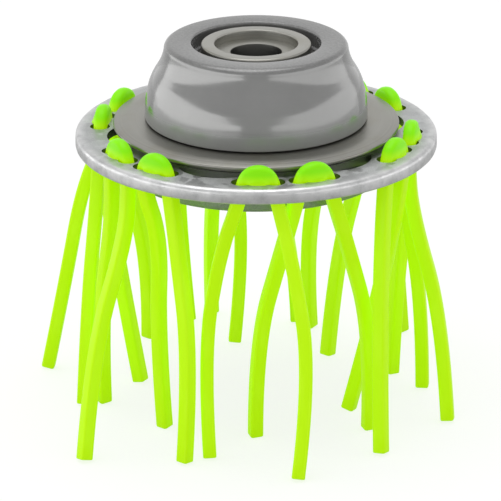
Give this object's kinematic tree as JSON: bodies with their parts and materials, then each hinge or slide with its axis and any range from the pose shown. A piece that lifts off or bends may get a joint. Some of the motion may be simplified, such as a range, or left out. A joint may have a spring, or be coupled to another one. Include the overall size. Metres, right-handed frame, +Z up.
{
  "type": "weed brush trimmer head",
  "caption": "Brush cutter head for weeding: round steel plate with looped square nylon lines hanging as a bristle ring, under a bearing-mounted glide cup on a flanged hub bush.",
  "frame": {"origin": "on the spindle axis, level with the top face of the line plate, inside the spindle bore", "axes": "+Z up along the spindle axis toward the hub's head, -Y toward the pictured front, +X to its right"},
  "size_m": [0.1019, 0.1098, 0.0911],
  "materials": {
    "cup_paint": "gloss grey paint",
    "hub_steel": "bare turned steel",
    "disc_steel": "bare pressed steel",
    "galvanised_steel": "spangled zinc, worn bright at the rim",
    "bearing_steel": "ground",
    "cage_steel": "pressed",
    "spring_steel": "blackened",
    "seal_rubber": "matte",
    "line_nylon": "translucent yellow-green nylon"
  },
  "bodies": {
    "head": {"hub_bush": "hub_steel", "bearing_inner_ring": "bearing_steel", "spacer_sleeve": "hub_steel", "cover_disc": "disc_steel", "spacer_washer": "disc_steel", "line_plate": "galvanised_steel", "lower_drum": "galvanised_steel", "line_01": "line_nylon", "line_02": "line_nylon", "line_03": "line_nylon", "line_04": "line_nylon", "line_05": "line_nylon", "line_06": "line_nylon", "line_07": "line_nylon", "line_08": "line_nylon", "line_09": "line_nylon", "line_10": "line_nylon", "line_11": "line_nylon", "line_12": "line_nylon"},
    "cup": {"glide_cup": "cup_paint", "bearing_outer_ring": "bearing_steel", "bearing_seal_lower": "seal_rubber", "bearing_seal_upper": "seal_rubber", "bearing_circlip": "spring_steel"},
    "cage": {"bearing_cage": "cage_steel", "bearing_balls": "bearing_steel"}
  },
  "joints": [
    {"name": "cup_spin", "type": "hinge", "parent": "head", "child": "cup", "pos_m": [0, 0, 0], "axis": [0, 0, 1], "continuous": true},
    {"name": "cage_spin", "type": "hinge", "parent": "head", "child": "cage", "pos_m": [0, 0, 0], "axis": [0, 0, 1], "continuous": true}
  ],
  "couplings": [
    {"joint": "cage_spin", "follows": "cup_spin", "ratio": 0.5916}
  ]
}
